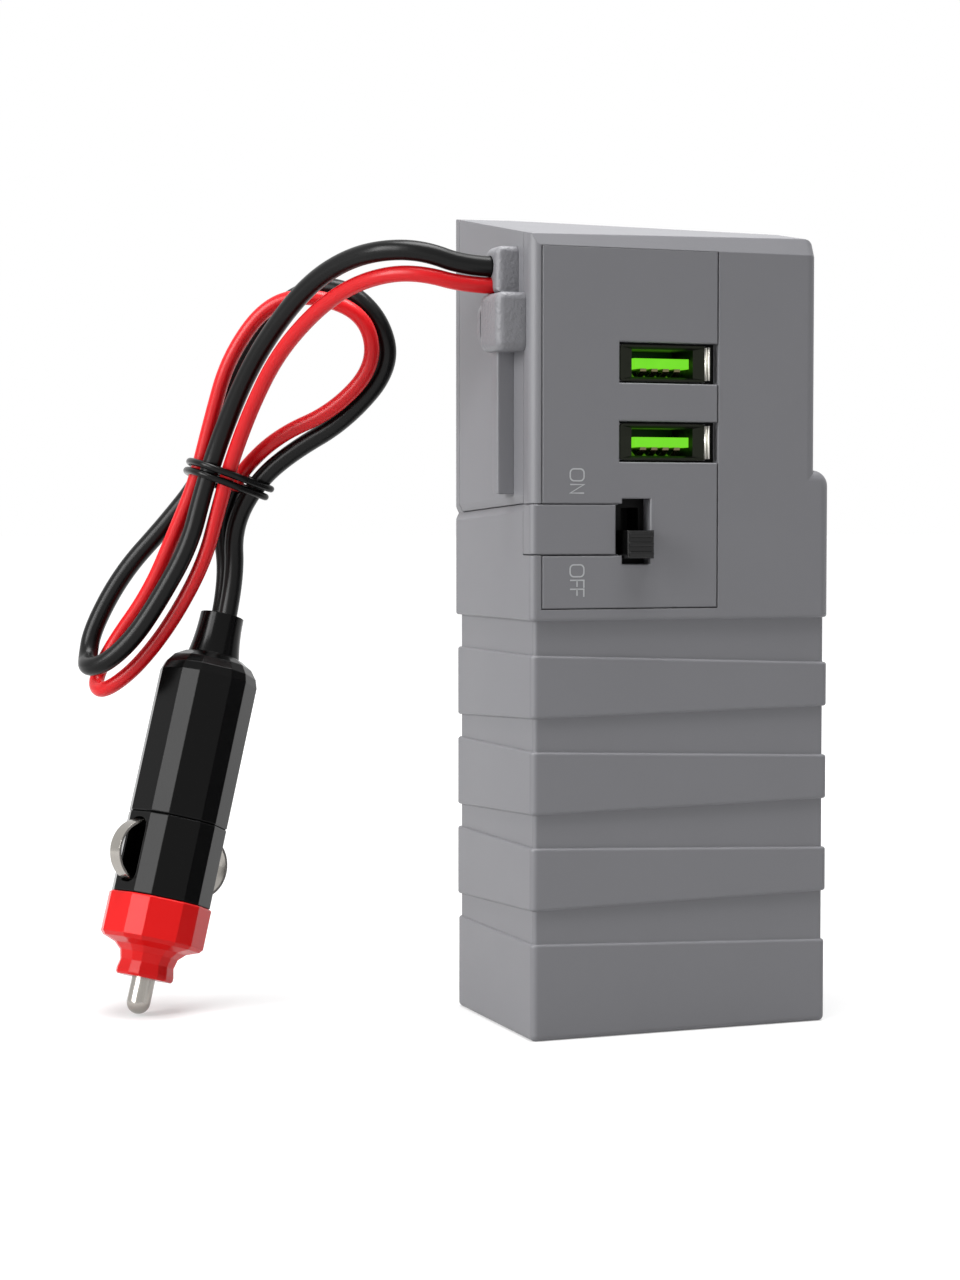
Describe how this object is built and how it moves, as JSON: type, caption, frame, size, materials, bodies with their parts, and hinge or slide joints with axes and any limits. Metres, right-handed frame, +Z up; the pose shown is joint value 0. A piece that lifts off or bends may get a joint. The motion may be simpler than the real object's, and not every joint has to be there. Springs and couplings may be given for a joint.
{
  "type": "car power inverter",
  "caption": "Upright car power inverter with a banded grip, USB sockets, a slide switch, a side outlet and a 12 V plug on a tied pair of wires.",
  "frame": {"origin": "bottom centre of the body, on the face that it stands on", "axes": "+Z up, +Y to the back, +X to the right of someone who looks at the front with the USB sockets"},
  "size_m": [0.1302, 0.0813, 0.1552],
  "materials": {
    "housing_grey": "fine matte grain",
    "panel_grey": "fine matte grain",
    "strain_grey": "coarse matte grain",
    "outlet_face": "satin",
    "knob_black": "gloss",
    "switch_black": "satin",
    "shell_steel": "bright",
    "tongue_green": "lit from behind",
    "contact_brass": "bright",
    "board_green": "satin",
    "ferrite": "dull",
    "sink_aluminium": "extruded",
    "package_black": "satin",
    "can_sleeve": "gloss",
    "screw_steel": "blackened",
    "plug_black": "high gloss",
    "cap_red": "gloss",
    "nickel": "polished nickel",
    "spring_steel": "bright",
    "fuse_glass": "clear",
    "wire_black": "satin",
    "wire_red": "satin",
    "sleeve_black": "satin",
    "tie_black": "satin"
  },
  "bodies": {
    "inverter": {"housing": "housing_grey", "front_panel": "panel_grey", "switch_bridge": "panel_grey", "side_cover": "housing_grey", "back_cover": "housing_grey", "cover_screws": "screw_steel", "strain_relief": "strain_grey", "cord_clip": "strain_grey", "outlet_insert": "outlet_face", "outlet_contacts": "contact_brass", "switch_body": "switch_black", "usb_shell_upper": "shell_steel", "usb_shell_lower": "shell_steel", "usb_tongue_upper": "tongue_green", "usb_tongue_lower": "tongue_green", "usb_contacts": "contact_brass", "front_board": "board_green", "main_board": "board_green", "transformer": "ferrite", "heat_sink": "sink_aluminium", "power_transistors": "package_black", "capacitors": "can_sleeve", "plug_barrel": "plug_black", "plug_body": "plug_black", "tip_spring": "spring_steel", "plug_terminal": "contact_brass", "black_wire": "wire_black", "red_wire": "wire_red", "wire_sleeve": "sleeve_black", "cord_tie": "tie_black"},
    "switch": {"switch_knob": "knob_black"},
    "tip": {"tip_pin": "nickel", "plug_fuse": "fuse_glass"},
    "cap": {"nose_cap": "cap_red"},
    "left_contact": {"contact_left": "nickel"},
    "right_contact": {"contact_right": "nickel"}
  },
  "joints": [
    {"name": "switch_slide", "type": "slide", "parent": "inverter", "child": "switch", "axis": [0, 0, 1], "range_m": [0, 0.0048]},
    {"name": "tip_press", "type": "slide", "parent": "inverter", "child": "tip", "axis": [0.2579, 0.1447, 0.9553], "range_m": [0, 0.002], "stiffness_N_per_m": 800, "springref_m": -0.002, "deforming": ["tip_spring"]},
    {"name": "left_contact_press", "type": "slide", "parent": "inverter", "child": "left_contact", "axis": [0.8801, 0.3727, -0.2941], "range_m": [0, 0.003], "stiffness_N_per_m": 1000, "springref_m": -0.001},
    {"name": "right_contact_press", "type": "slide", "parent": "inverter", "child": "right_contact", "axis": [-0.8801, -0.3727, 0.2941], "range_m": [0, 0.003], "stiffness_N_per_m": 1000, "springref_m": -0.001},
    {"name": "cap_unscrew", "type": "hinge", "parent": "inverter", "child": "cap", "pos_m": [-0.08883, 0.03347, 0.01478], "axis": [0.2579, 0.1447, 0.9553], "continuous": true}
  ]
}
